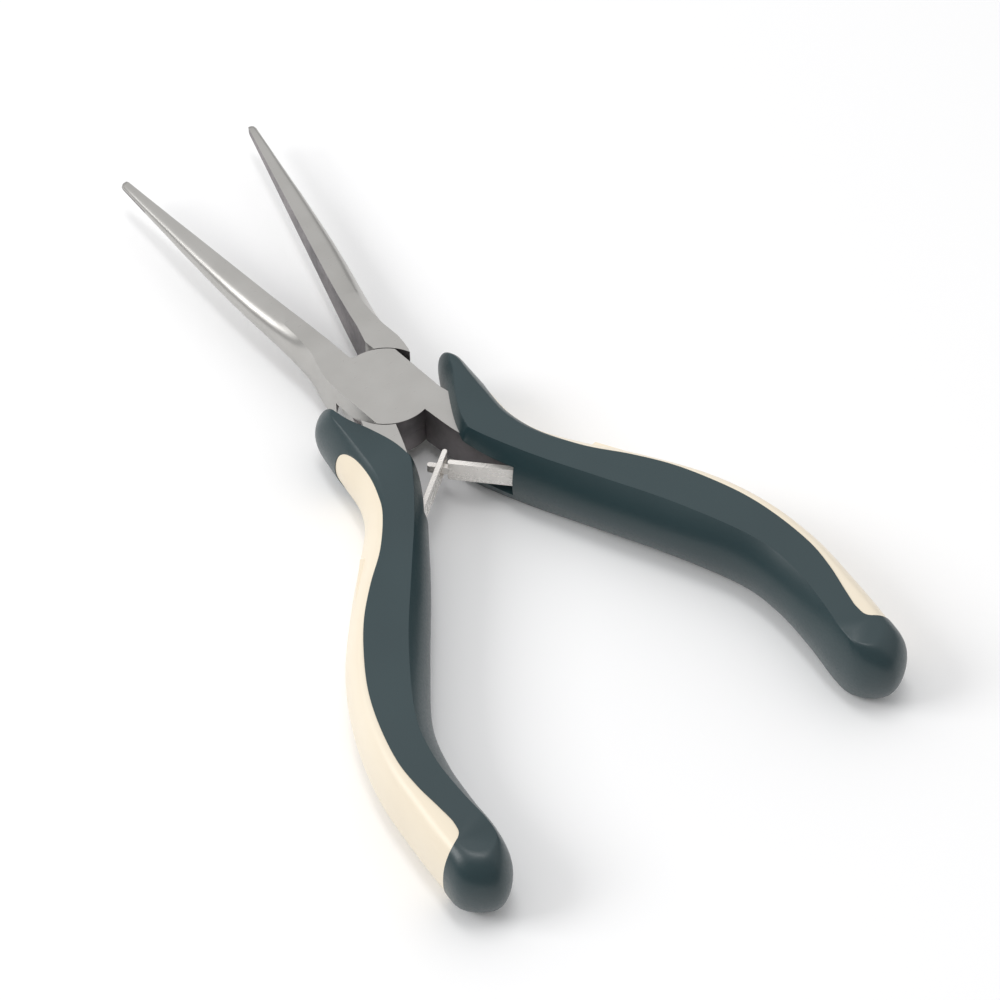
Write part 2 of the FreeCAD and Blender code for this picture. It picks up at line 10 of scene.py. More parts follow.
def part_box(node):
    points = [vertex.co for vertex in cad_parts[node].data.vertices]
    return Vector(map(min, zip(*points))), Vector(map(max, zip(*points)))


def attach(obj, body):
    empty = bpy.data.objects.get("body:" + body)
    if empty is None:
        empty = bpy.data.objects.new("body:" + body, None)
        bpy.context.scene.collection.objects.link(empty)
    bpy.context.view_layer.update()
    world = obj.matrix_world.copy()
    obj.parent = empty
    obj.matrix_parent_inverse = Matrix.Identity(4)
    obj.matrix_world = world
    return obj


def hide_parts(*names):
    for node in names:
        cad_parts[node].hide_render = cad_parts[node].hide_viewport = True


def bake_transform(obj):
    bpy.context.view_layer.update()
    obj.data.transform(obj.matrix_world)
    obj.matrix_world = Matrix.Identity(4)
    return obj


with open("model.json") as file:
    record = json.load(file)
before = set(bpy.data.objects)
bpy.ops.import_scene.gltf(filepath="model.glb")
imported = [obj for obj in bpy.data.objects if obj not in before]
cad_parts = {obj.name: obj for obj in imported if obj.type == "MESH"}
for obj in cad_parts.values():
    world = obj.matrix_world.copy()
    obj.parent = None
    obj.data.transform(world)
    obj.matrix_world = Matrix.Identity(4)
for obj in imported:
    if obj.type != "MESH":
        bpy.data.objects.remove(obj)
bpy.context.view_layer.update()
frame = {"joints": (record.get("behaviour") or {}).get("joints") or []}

# %% [markdown]
# # Needle nose pliers
#
# The pliers lie open on a pale surface. Two steel halves cross in a flat lap joint, a pair of
# spring leaves pushes the handles apart, and each handle wears a hard cream core under a soft
# dark green cover. This lesson rebuilds every piece as a mesh around the CAD frame.
#
# Each half is easiest to draw closed, with its jaw face on the Y axis and the pivot at zero.
# Everything is therefore drawn in millimetres in that closed position, and only the last step of
# each piece turns it to its open rest position, moves it to the pivot and scales it to metres.

# %% Where the pivot is and how far the pliers stand open
pivot = [joint for joint in frame["joints"] if joint["name"] == "pivot"][0]
PIVOT = Vector((pivot["pos_m"][0], pivot["pos_m"][1], 0)) * 1000
HALF_OPENING = -pivot["range_deg"][0] / 2
MM = 0.001
RIGHT, LEFT = 1, -1
HALF_NAMES = {RIGHT: "right_handled_half", LEFT: "left_handled_half"}
print("pivot at", tuple(PIVOT), "each half turned by", HALF_OPENING, "degrees")

# %% Heights shared by all pieces, in millimetres
GRIP_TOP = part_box("right_grip_cover")[1].z / MM
MIDDLE = GRIP_TOP / 2
METAL_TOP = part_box("upper_half")[1].z / MM
METAL_BOTTOM = GRIP_TOP - METAL_TOP
LAP_GAP = 0.04
print("grips reach up to", round(GRIP_TOP, 2), "and the steel to", round(METAL_TOP, 2))

# %% [markdown]
# ## Small helpers
#
# A shape begins as a few points. `through` runs a smooth line through them, `prism` makes a
# straight-sided block from an outline, and `combine` adds, cuts or keeps what two solids share.
# A Boolean modifier does that best: it works on any closed mesh, and its result is applied at
# once, so that no modifier and no cutting tool is left behind in the scene.


# %% Lines and outlines
def through(points, steps, closed=False):
    """A smooth line through the points, with the same number of steps in every gap."""
    knots = [Vector((x, y, 0)) for x, y in points]
    count = len(knots)
    line = []
    for index in range(count if closed else count - 1):
        if closed:
            before, start, end, after = (knots[(index + k) % count] for k in (-1, 0, 1, 2))
        else:
            before, start = knots[max(index - 1, 0)], knots[index]
            end, after = knots[index + 1], knots[min(index + 2, count - 1)]
        leave = start + (end - before) / 6
        arrive = end - (after - start) / 6
        line += interpolate_bezier(start, leave, arrive, end, steps + 1)[:-1]
    if not closed:
        line.append(knots[-1])
    return [(p.x, p.y) for p in line]


def arc(centre, radius, first, last, steps):
    """Points on a circle, from one angle to another in degrees."""
    angles = [math.radians(first + (last - first) * k / steps) for k in range(steps + 1)]
    return [(centre[0] + radius * math.cos(a), centre[1] + radius * math.sin(a)) for a in angles]


def on_side(side, points):
    """The points as they are for the right handle's half, or mirrored for the left's."""
    return [(side * x, y) for x, y in points]


# %% Solids from outlines
def ring_of(bm, places):
    """A closed ring of edges through these places, as its points and its edges."""
    verts = [bm.verts.new(place) for place in places]
    edges = [bm.edges.new(pair) for pair in zip(verts, verts[1:] + verts[:1])]
    return verts, edges


def as_object(bm, name):
    """Finish a bmesh with its faces pointing outwards, and put it in the scene."""
    bmesh.ops.recalc_face_normals(bm, faces=bm.faces[:])
    mesh = bpy.data.meshes.new(name)
    bm.to_mesh(mesh)
    bm.free()
    thing = bpy.data.objects.new(name, mesh)
    bpy.context.scene.collection.objects.link(thing)
    return thing


def prism(name, points, low, high):
    """A straight block with this outline, from one height to another."""
    bm = bmesh.new()
    verts, edges = ring_of(bm, [(x, y, low) for x, y in points])
    base = bmesh.ops.edgeloop_fill(bm, edges=edges)["faces"]
    raised = bmesh.ops.extrude_face_region(bm, geom=base)["geom"]
    tops = [v for v in raised if isinstance(v, bmesh.types.BMVert)]
    bmesh.ops.translate(bm, vec=(0, 0, high - low), verts=tops)
    return as_object(bm, name)


def turned_profile(name, profile, steps):
    """A solid of revolution round the pivot, from a profile of (radius, height) points."""
    bm = bmesh.new()
    verts = [bm.verts.new((radius, 0, height)) for radius, height in profile]
    edges = [bm.edges.new(pair) for pair in zip(verts, verts[1:])]
    bmesh.ops.spin(bm, geom=verts + edges, cent=(0, 0, 0), axis=(0, 0, 1),
                   angle=math.tau, steps=steps, use_merge=True)
    bmesh.ops.remove_doubles(bm, verts=bm.verts[:], dist=0.001)
    return as_object(bm, name)


# %% Combining, rounding and applying
def applied(thing):
    """The object's shape with its modifiers built in."""
    depsgraph = bpy.context.evaluated_depsgraph_get()
    mesh = bpy.data.meshes.new_from_object(thing.evaluated_get(depsgraph))
    thing.modifiers.clear()
    thing.data = mesh
    return thing


def remove(*things):
    for thing in things:
        bpy.data.objects.remove(thing)


def combine(thing, how, *tools):
    """how is UNION, DIFFERENCE or INTERSECT; the tools are used up."""
    for tool in tools:
        step = thing.modifiers.new("combine", "BOOLEAN")
        step.operation = how
        step.solver = "EXACT"
        step.object = tool
        applied(thing)
    remove(*tools)
    return thing


def clean(thing, dist=0.002):
    """Merge what a Boolean left doubled, and drop edges that lie within one flat face."""
    bm = bmesh.new()
    bm.from_mesh(thing.data)
    bmesh.ops.remove_doubles(bm, verts=bm.verts[:], dist=dist)
    bmesh.ops.dissolve_degenerate(bm, dist=dist, edges=bm.edges[:])
    bm.to_mesh(thing.data)
    bm.free()
    return thing


def soften(thing, width, angle=35, segments=2):
    """Round every edge sharper than the angle, and keep the flats flat."""
    step = thing.modifiers.new("soften", "BEVEL")
    step.width = width
    step.segments = segments
    step.limit_method = "ANGLE"
    step.angle_limit = math.radians(angle)
    step.miter_outer = "MITER_ARC"
    step.use_clamp_overlap = True
    for face in thing.data.polygons:
        face.use_smooth = True
    thing.data.set_sharp_from_angle(angle=math.radians(angle))
    step.harden_normals = True
    return applied(thing)


def shade(thing, angle=35):
    for face in thing.data.polygons:
        face.use_smooth = True
    thing.data.set_sharp_from_angle(angle=math.radians(angle))
    return thing


def settle(thing, name, side, body, replaced, slot, *materials):
    """Open the piece to its rest position, make it metres, and hand it to its body."""
    turn = Matrix.Rotation(math.radians(side * HALF_OPENING), 4, "Z")
    thing.data.transform(Matrix.Scale(MM, 4) @ Matrix.Translation(PIVOT) @ turn)
    thing.name = thing.data.name = name
    while len(thing.data.materials) < len(materials):
        thing.data.materials.append(None)
    for index, material in enumerate(materials):
        thing.data.materials[index] = material
    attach(thing, body)
    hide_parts(replaced)
    print(name, len(thing.data.polygons), "faces")
    return thing


# %% [markdown]
# ## Finishes
#
# The steel is ground flat and left satin, so it needs faint streaks and a slightly uneven
# roughness. The inside of the joint and the walls between the tangs get a dark steel that is
# partly the unground forging's colour and partly painted shade, the shade that falls in those
# hollows. The leaves are bright plated strip. The cream core is smooth moulded plastic and the
# green cover is a soft rubber with a very fine skin.
#
# Streaks and skin are used by more than one finish, so each is one node group.


# %% Node group helpers
def new_group(name, inputs, outputs):
    group = bpy.data.node_groups.new(name, "ShaderNodeTree")
    for word, value in inputs:
        socket = group.interface.new_socket(word, in_out="INPUT", socket_type="NodeSocketFloat")
        socket.default_value = value
    for word in outputs:
        group.interface.new_socket(word, in_out="OUTPUT", socket_type="NodeSocketFloat")
    source = group.nodes.new("NodeGroupInput")
    result = group.nodes.new("NodeGroupOutput")
    return group, source, result


def node(tree, kind, **values):
    made = tree.nodes.new(kind)
    for word, value in values.items():
        if hasattr(made, word):
            setattr(made, word, value)
        else:
            made.inputs[word.replace("_", " ").title()].default_value = value
    return made


# %% Group: ground streaks
def build_streaks():
    """Fine scratches that all run one way, and soft cloudy patches."""
    group, source, result = new_group("ground streaks", [("Fineness", 1.0), ("Along", 1.0)],
                                      ["Streaks", "Clouds"])
    place = group.nodes.new("ShaderNodeTexCoord")
    stretch = group.nodes.new("ShaderNodeVectorMath")
    stretch.operation = "MULTIPLY"
    squeeze = group.nodes.new("ShaderNodeCombineXYZ")
    squeeze.inputs["Y"].default_value = 1.0
    squeeze.inputs["Z"].default_value = 1.0
    group.links.new(source.outputs["Along"], squeeze.inputs["X"])
    group.links.new(place.outputs["Object"], stretch.inputs[0])
    group.links.new(squeeze.outputs[0], stretch.inputs[1])
    fine = node(group, "ShaderNodeTexNoise", detail=6.0, roughness=0.65)
    group.links.new(stretch.outputs[0], fine.inputs["Vector"])
    group.links.new(source.outputs["Fineness"], fine.inputs["Scale"])
    broad = node(group, "ShaderNodeTexNoise", scale=160.0, detail=3.0, roughness=0.5)
    group.links.new(place.outputs["Object"], broad.inputs["Vector"])
    group.links.new(fine.outputs["Fac"], result.inputs["Streaks"])
    group.links.new(broad.outputs["Fac"], result.inputs["Clouds"])
    return group


streaks = build_streaks()
print(streaks.name, "has outputs", [s.name for s in streaks.interface.items_tree
                                    if s.in_out == "OUTPUT"])


# %% Group: moulded skin
def build_skin():
    """The tiny even grain of a moulded surface, and its slow change of tone."""
    group, source, result = new_group("moulded skin", [("Grain", 1.0)], ["Grain", "Tone"])
    place = group.nodes.new("ShaderNodeTexCoord")
    fine = node(group, "ShaderNodeTexNoise", detail=2.0, roughness=0.5)
    slow = node(group, "ShaderNodeTexNoise", scale=45.0, detail=2.0, roughness=0.5)
    group.links.new(place.outputs["Object"], fine.inputs["Vector"])
    group.links.new(place.outputs["Object"], slow.inputs["Vector"])
    group.links.new(source.outputs["Grain"], fine.inputs["Scale"])
    group.links.new(fine.outputs["Fac"], result.inputs["Grain"])
    group.links.new(slow.outputs["Fac"], result.inputs["Tone"])
    return group


skin = build_skin()
print(skin.name, "is ready")


# %% A finish from a group
def finish(name, group, settings, pattern, tones, roughness, bump, shader_values):
    """A Principled material whose tone, roughness and bump follow one group's patterns.

    pattern names the group's fine output and its slow output. tones are the two colours that the
    slow one mixes, roughness its two ends for the fine one, and bump its depth in metres.
    """
    material = bpy.data.materials.new(name)
    material.use_nodes = True
    tree = material.node_tree
    shader = tree.nodes["Principled BSDF"]
    for word, value in shader_values.items():
        shader.inputs[word].default_value = value
    effect = tree.nodes.new("ShaderNodeGroup")
    effect.node_tree = group
    for word, value in settings.items():
        effect.inputs[word].default_value = value
    fine, slow = (effect.outputs[word] for word in pattern)
    colour = tree.nodes.new("ShaderNodeValToRGB")
    colour.color_ramp.elements[0].position = 0.35
    colour.color_ramp.elements[1].position = 0.65
    colour.color_ramp.elements[0].color = (*tones[0], 1)
    colour.color_ramp.elements[1].color = (*tones[1], 1)
    tree.links.new(slow, colour.inputs["Fac"])
    tree.links.new(colour.outputs["Color"], shader.inputs["Base Color"])
    spread = tree.nodes.new("ShaderNodeMapRange")
    spread.inputs["From Min"].default_value = 0.3
    spread.inputs["From Max"].default_value = 0.7
    spread.inputs["To Min"].default_value = roughness[0]
    spread.inputs["To Max"].default_value = roughness[1]
    tree.links.new(fine, spread.inputs["Value"])
    tree.links.new(spread.outputs["Result"], shader.inputs["Roughness"])
    relief = tree.nodes.new("ShaderNodeBump")
    relief.inputs["Strength"].default_value = 1.0
    relief.inputs["Distance"].default_value = bump
    tree.links.new(fine, relief.inputs["Height"])
    tree.links.new(relief.outputs["Normal"], shader.inputs["Normal"])
    return material


ground_steel = finish("ground_steel", streaks, {"Fineness": 5000.0, "Along": 0.12},
                      ("Streaks", "Clouds"), ((0.47, 0.46, 0.44), (0.50, 0.49, 0.47)),
                      (0.27, 0.34), 0.0000006, {"Metallic": 1.0})
# Dark steel: partly the unground forging's colour, partly painted shade of the joint's hollows and
# of the walls between the tangs.
forged_steel_and_shade = finish("forged_steel_and_shade", streaks, {"Fineness": 900.0, "Along": 1.0},
                      ("Streaks", "Clouds"), ((0.16, 0.15, 0.155), (0.27, 0.25, 0.255)),
                      (0.40, 0.58), 0.00003, {"Metallic": 0.85})
plated_strip = finish("plated_strip", streaks, {"Fineness": 1200.0, "Along": 0.3},
                      ("Streaks", "Clouds"), ((0.90, 0.865, 0.82), (0.94, 0.91, 0.87)),
                      (0.24, 0.30), 0.0000004, {"Metallic": 0.35})
cream_plastic = finish("cream_plastic", skin, {"Grain": 2500.0},
                       ("Grain", "Tone"), ((0.84, 0.74, 0.58), (0.88, 0.79, 0.64)),
                       (0.34, 0.42), 0.000004, {"Coat Weight": 0.15, "Coat Roughness": 0.25})
green_rubber = finish("green_rubber", skin, {"Grain": 2600.0},
                      ("Grain", "Tone"), ((0.011, 0.032, 0.038), (0.015, 0.039, 0.045)),
                      (0.36, 0.46), 0.000012,
                      {"Coat Weight": 0.25, "Coat Roughness": 0.25, "IOR": 1.5})
FINISHES = (ground_steel, forged_steel_and_shade, plated_strip, cream_plastic, green_rubber)
print("finishes:", [material.name for material in FINISHES])

# %% [markdown]
# ## The steel halves
#
# Each half is one forging: a slim tapering jaw, a round disc that laps over the other half's,
# and a tang that runs back into the grip. The disc starts as a cylinder with its two sides
# planed off, the jaw is a row of D-shaped slices bridged into one skin, and the tang is a block
# cut to a curved outline. Joined, they are cut away where the other half's disc turns.

# %% Sizes of the joint
DISC = 7.2
FLAT = 5.7
SHOULDER = DISC + 0.15
RELIEF = 0.25
CROTCH = 0.7
JOINT_ROUNDING = 0.10


# %% The disc with its two flats
def build_disc(side):
    bm = bmesh.new()
    bmesh.ops.create_cone(bm, cap_ends=True, segments=180, radius1=DISC, radius2=DISC,
                          depth=METAL_TOP - METAL_BOTTOM)
    bmesh.ops.translate(bm, vec=(0, 0, MIDDLE), verts=bm.verts[:])
    for direction in (1, -1):
        cut = bmesh.ops.bisect_plane(bm, geom=bm.verts[:] + bm.edges[:] + bm.faces[:],
                                     plane_co=(direction * FLAT, 0, 0),
                                     plane_no=(direction, 0, 0), clear_outer=True)
        rim = [e for e in cut["geom_cut"] if isinstance(e, bmesh.types.BMEdge)]
        bmesh.ops.holes_fill(bm, edges=rim, sides=0)
    return as_object(bm, "disc")


# %% [markdown]
# The jaw's slices are flat on the gripping face and on top, and round on the outer side. The
# first ones are almost square, because there the jaw still belongs to the joint. From 12.3 mm
# ahead of the pivot the top slopes down to the tip.

# %% The jaw's slices
# (distance from the pivot, gripping face, width, roundness of the outer side, thickness)
JAW_SLICES = [
    (4.0, RELIEF, 5.60, 0.02, 7.00),
    (5.5, RELIEF, 5.68, 0.03, 7.00),
    (7.0, RELIEF, 5.52, 0.06, 7.00),
    (8.5, RELIEF, 5.29, 0.16, 7.00),
    (10.0, RELIEF, 4.98, 0.42, 7.00),
    (11.3, RELIEF, 4.73, 0.68, 7.00),
    (12.3, RELIEF, 4.60, 0.85, 7.00),
    (14.5, 0.18, 4.50, 1.18, 6.44),
    (16.6, 0.12, 4.43, 1.45, 6.03),
    (19.5, 0.06, 4.35, 1.70, 5.38),
    (22.3, 0.04, 4.28, 1.85, 4.83),
    (26.5, 0.04, 4.17, 1.84, 4.26),
    (31.4, 0.04, 3.92, 1.75, 3.81),
    (37.0, 0.04, 3.48, 1.62, 3.24),
    (43.3, 0.04, 2.94, 1.40, 2.67),
    (48.0, 0.04, 2.44, 1.20, 2.12),
    (53.3, 0.04, 1.93, 0.95, 1.70),
    (57.0, 0.04, 1.56, 0.82, 1.42),
    (59.3, 0.04, 1.33, 0.72, 1.29),
    (59.8, 0.10, 1.18, 0.60, 1.08),
    (60.0, 0.22, 0.95, 0.42, 0.78),
]
ROUND_STEPS = 14


def jaw_slice_points(face, width, bulge, thickness):
    """One slice seen along the jaw, as (across, up) points round its edge."""
    half = thickness / 2
    radius = (half ** 2 + bulge ** 2) / (2 * bulge)
    reach = math.degrees(math.asin(min(1.0, half / radius)))
    if bulge > half:
        reach = 180 - reach
    side = arc((width - radius, 0), radius, reach, -reach, ROUND_STEPS)
    return [(face, -half), (face, half)] + side


def build_jaw(side):
    bm = bmesh.new()
    rings = []
    for ahead, face, width, bulge, thickness in JAW_SLICES:
        points = jaw_slice_points(face, width, bulge, thickness)
        rings.append(ring_of(bm, [(-side * x, ahead, MIDDLE + z) for x, z in points])[1])
    for ring, following in zip(rings, rings[1:]):
        bmesh.ops.bridge_loops(bm, edges=ring + following)
    for ring in (rings[0], rings[-1]):
        bmesh.ops.edgeloop_fill(bm, edges=ring)
    return as_object(bm, "jaw")


# %% The tang
TANG_INNER = [(1.8, -13.5), (3.3, -18.2), (5.5, -22.8), (10.0, -32.2), (14.0, -40.4),
              (17.4, -48.5), (19.3, -55.6), (19.6, -60.8), (19.3, -64.2)]
TANG_OUTER = [(22.4, -64.4), (23.0, -61.0), (23.1, -55.5), (21.5, -46.9), (18.4, -38.4),
              (14.3, -29.6), (10.3, -21.8), (7.9, -15.0), (6.4, -9.0), (5.7, -5.5)]
NOTCH = (1.25, -math.sqrt(DISC ** 2 - 1.25 ** 2))
TANG_STEP = -26.0
TANG_STEP_DEPTH = 1.0


def tang_outline():
    inner = through([NOTCH] + TANG_INNER, 6)
    end = through([TANG_INNER[-1], (19.8, -65.6), (20.9, -66.1), (22.0, -65.7), TANG_OUTER[0]], 3)
    outer = through(TANG_OUTER, 6)
    return [(1.1, -5.1)] + inner + end[1:-1] + outer + [(5.6, -2.5)]


def build_tang(side, spare=0.0):
    """The tang, or with some spare the hollow in the grip that takes it."""
    points = on_side(side, tang_outline())
    block = prism("tang", points, METAL_BOTTOM - spare, METAL_TOP + spare)
    box = on_side(side, [(-3, TANG_STEP), (40, TANG_STEP), (40, -110), (-3, -110)])
    above = prism("above", box, METAL_TOP - TANG_STEP_DEPTH, METAL_TOP + 3)
    below = prism("below", box, METAL_BOTTOM - 3, METAL_BOTTOM + TANG_STEP_DEPTH)
    return combine(block, "DIFFERENCE", above, below)


# %% [markdown]
# The crotch between jaw face and disc is a small fillet. It is a filler block with a round bite
# taken out of it, so the two surfaces run into each other without a corner.

# %% The fillet in the crotch
def build_crotch(side):
    rise = math.sqrt((DISC + CROTCH) ** 2 - (CROTCH - RELIEF) ** 2)
    centre = (CROTCH - RELIEF, rise)
    share = DISC / (DISC + CROTCH)
    touch = (centre[0] * share, centre[1] * share)
    last = math.degrees(math.atan2(touch[1] - centre[1], touch[0] - centre[0])) + 360
    bite = arc(centre, CROTCH, 180, last, 10)
    points = on_side(side, bite + [(touch[0], DISC - 1.5), (-1.2, DISC - 1.5), (-1.2, rise)])
    return prism("crotch", points, METAL_BOTTOM, METAL_TOP)


# %% What the other half needs cleared away
def build_clearance(side, upper):
    """The other half's disc and its crotch corner, as one solid to cut away."""
    low, high = METAL_BOTTOM - 1, MIDDLE + LAP_GAP / 2
    if not upper:
        low, high = MIDDLE - LAP_GAP / 2, METAL_TOP + 1
    round_part = prism("round", arc((0, 0), SHOULDER, 0, 358, 179), low, high)
    corner = [(RELIEF - 0.2, DISC - 0.3), (RELIEF + 0.8, DISC - 0.3),
              (RELIEF + 0.7, SHOULDER), (RELIEF - 0.2, SHOULDER + 2.2)]
    corner_part = prism("corner", on_side(side, [(-x, y) for x, y in corner]), low, high)
    return round_part, corner_part


# %% The rivet's shape
RIVET = 2.4
RIVET_HEAD = 3.3
RIVET_HEAD_DEPTH = 0.9
RIVET_CLEARANCE = 0.05


def rivet_profile(spare, end_spare=0.0):
    radius, head = RIVET + spare, RIVET_HEAD + spare
    return [(0, METAL_BOTTOM - end_spare), (head, METAL_BOTTOM - end_spare),
            (head, METAL_BOTTOM), (radius, METAL_BOTTOM + RIVET_HEAD_DEPTH),
            (radius, METAL_TOP - RIVET_HEAD_DEPTH), (head, METAL_TOP),
            (head, METAL_TOP + end_spare), (0, METAL_TOP + end_spare)]


# %% [markdown]
# Only the outer faces of the forging are ground. The walls between the tangs and everything that
# the other half covers get the second finish, a dark steel that is partly the unground forging's
# colour and partly painted shade, the shade that falls in those hollows. A face is judged by
# where its middle lies while the half is still drawn closed.


# %% Which faces get the dark steel with painted shade
def mark_forged_and_shaded_faces(thing, side, upper):
    """Give finish index 1, a dark steel that also paints the shade of the hollows, to the faces
    inside the joint and between the tangs.
    """
    count = 0
    for face in thing.data.polygons:
        x, y = side * face.center.x, face.center.y
        radius = math.hypot(x, y)
        level = abs(face.center.z - MIDDLE) < 0.1
        inside = radius < SHOULDER + 0.06 and abs(face.normal.z) < 0.9 and y > -1 \
            and (face.center.z < MIDDLE) == upper
        walls = y < -6.0 and abs(face.normal.z) < 0.7
        if level or inside or walls:
            # These faces get the dark steel, which partly paints the shade that falls inside the
            # joint and between the tangs.
            face.material_index = 1
            count += 1
    print("forged and shaded faces:", count, "of", len(thing.data.polygons))


# %% Building both halves
def build_half(name, side, upper):
    half = build_disc(side)
    combine(half, "UNION", build_jaw(side), build_tang(side), build_crotch(side))
    combine(half, "DIFFERENCE", *build_clearance(side, upper))
    clean(half)
    soften(half, JOINT_ROUNDING)
    hole = turned_profile("hole", rivet_profile(0.0 if upper else RIVET_CLEARANCE, 1.0), 96)
    combine(half, "DIFFERENCE", hole)
    half.data.materials.append(ground_steel)
    half.data.materials.append(forged_steel_and_shade)
    mark_forged_and_shaded_faces(half, side, upper)
    return settle(half, name + "_forging", side, HALF_NAMES[side], name, "ground_steel",
                  ground_steel, forged_steel_and_shade)


build_half("upper_half", RIGHT, True)
build_half("lower_half", LEFT, False)

# %% The rivet
rivet = turned_profile("rivet", rivet_profile(0.0)[:2] + rivet_profile(0.0)[3:6]
                       + [(0, METAL_TOP)], 96)
shade(rivet)
settle(rivet, "flush_rivet", RIGHT, HALF_NAMES[RIGHT], "pivot_rivet", "rivet_steel", ground_steel)

# %% [markdown]
# ## The spring leaves
#
# A leaf is a flat strip standing on edge. It is held in a slot in its grip and crosses the other
# one on the centre line: one ends in a narrow tongue, which passes through a window in the other.
# They are drawn lying along X from the mouth of the slot, then turned into place at rest, which
# is why they don't use the closed drawing.

# %% Sizes of the leaves
LEAF_ROOT = (8.0, -21.8)
CROSSING = -15.0
LEAF_LENGTH = math.hypot(LEAF_ROOT[0], CROSSING - LEAF_ROOT[1])
LEAF_WIDTH = 3.6
LEAF_THICKNESS = 0.8
SLOT_SPARE = 0.65
LEAF_STUB = 1.6
EDGE_ROUNDING = 0.10
TONGUE_WIDTH = 1.4
TONGUE_REACH = 2.0
WINDOW_HALF = 1.0
print("a leaf is", round(LEAF_LENGTH, 2), "mm from its slot to the crossing")


# %% A strip with a rounded end
def build_strip(reach, width):
    half = LEAF_THICKNESS / 2
    nose = arc((reach - half, 0), half, -90, 90, 8)
    points = [(-LEAF_STUB, -half)] + nose + [(-LEAF_STUB, half)]
    return prism("strip", points, -width / 2, width / 2)


def place_leaf(thing, side):
    lean = math.atan2(CROSSING - LEAF_ROOT[1], -side * LEAF_ROOT[0])
    place = Matrix.Translation((side * LEAF_ROOT[0], LEAF_ROOT[1], MIDDLE))
    thing.data.transform(place @ Matrix.Rotation(lean, 4, "Z"))
    back = Matrix.Rotation(math.radians(-side * HALF_OPENING), 4, "Z")
    thing.data.transform(back)
    return thing


def settle_leaf(thing, name, side, replaced):
    """A leaf bends in use; here it is only turned into its rest place, made metres and given the
    plated strip.
    """
    place_leaf(thing, side)
    turn = Matrix.Rotation(math.radians(side * HALF_OPENING), 4, "Z")
    thing.data.transform(Matrix.Scale(MM, 4) @ Matrix.Translation(PIVOT) @ turn)
    thing.name = thing.data.name = name
    thing.data.materials.clear()
    thing.data.materials.append(plated_strip)
    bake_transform(thing)
    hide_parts(replaced)
    print(name, len(thing.data.polygons), "faces")
    return thing


# %% The leaf with the tongue
tongue_leaf = build_strip(LEAF_LENGTH - 1.0, LEAF_WIDTH)
combine(tongue_leaf, "UNION", build_strip(LEAF_LENGTH + TONGUE_REACH, TONGUE_WIDTH))
soften(clean(tongue_leaf), EDGE_ROUNDING)
settle_leaf(tongue_leaf, "tongue_leaf_strip", RIGHT, "spring_leaf_with_tongue")

# %% The leaf with the window
window_leaf = build_strip(LEAF_LENGTH + 2.3, LEAF_WIDTH)
window = [(LEAF_LENGTH - 1.5, -2), (LEAF_LENGTH + 1.5, -2),
          (LEAF_LENGTH + 1.5, 2), (LEAF_LENGTH - 1.5, 2)]
combine(window_leaf, "DIFFERENCE", prism("window", window, -WINDOW_HALF, WINDOW_HALF))
soften(clean(window_leaf), EDGE_ROUNDING)
settle_leaf(window_leaf, "window_leaf_strip", LEFT, "spring_leaf_with_window")

# %% [markdown]
# ## The grips
#
# A grip is flat above and below and softly rounded all round its edge. Seen from above it is an
# S with a pointed guard in front and a round bulb behind. Every point of the outline is given
# twice: where the grip is widest, at mid height, and where the flat top begins. Rings at many
# heights between the two are bridged, which makes the rounded side. A softness goes with each
# point: at 1 the side runs smoothly into the flat top, at 0 it meets the top in a crease.

# %% The grip's outline
# (widest, edge of the flat top, softness), right grip, closed, clockwise from the guard's point
GRIP_LINE = [
    ((10.4, -0.2), (9.5, -3.3), 0.2),
    ((12.0, -2.4), (9.8, -4.8), 0.2),
    ((11.8, -6.2), (9.2, -7.5), 0.2),
    ((11.2, -11.2), (8.4, -11.8), 0.2),
    ((10.7, -16.2), (7.7, -16.8), 0.2),
    ((11.6, -21.2), (8.4, -22.1), 0.3),
    ((14.5, -26.8), (11.2, -28.4), 0.4),
    ((18.9, -34.8), (16.2, -35.8), 0.5),
    ((23.2, -44.0), (20.9, -45.0), 0.6),
    ((25.4, -53.0), (23.2, -53.6), 0.7),
    ((25.8, -62.6), (23.3, -62.4), 0.8),
    ((24.6, -71.6), (21.7, -71.0), 0.8),
    ((23.2, -78.4), (20.5, -77.0), 0.8),
    ((21.8, -83.4), (19.3, -80.0), 0.7),
    ((17.1, -85.5), (16.9, -81.0), 0.5),
    ((13.9, -82.2), (15.2, -79.4), 0.3),
    ((13.6, -77.1), (15.3, -76.5), 0.1),
    ((14.7, -70.9), (16.8, -71.2), 0.0),
    ((15.6, -63.8), (18.1, -64.6), 0.0),
    ((15.1, -56.5), (17.8, -57.0), 0.0),
    ((11.5, -46.5), (14.2, -45.5), 0.0),
    ((7.1, -35.7), (9.6, -34.8), 0.0),
    ((4.1, -27.4), (6.1, -26.9), 0.0),
    ((1.9, -20.8), (3.6, -20.3), 0.0),
    ((1.1, -15.8), (2.3, -15.9), 0.1),
    ((1.4, -14.1), (2.5, -14.6), 0.2),
    ((2.8, -11.2), (3.6, -11.9), 0.2),
    ((5.1, -7.5), (5.8, -8.6), 0.2),
    ((7.2, -4.5), (7.9, -6.0), 0.2),
    ((9.0, -1.5), (9.0, -4.1), 0.2),
]
AROUND_STEPS = 7
SIDE_STEPS = 28


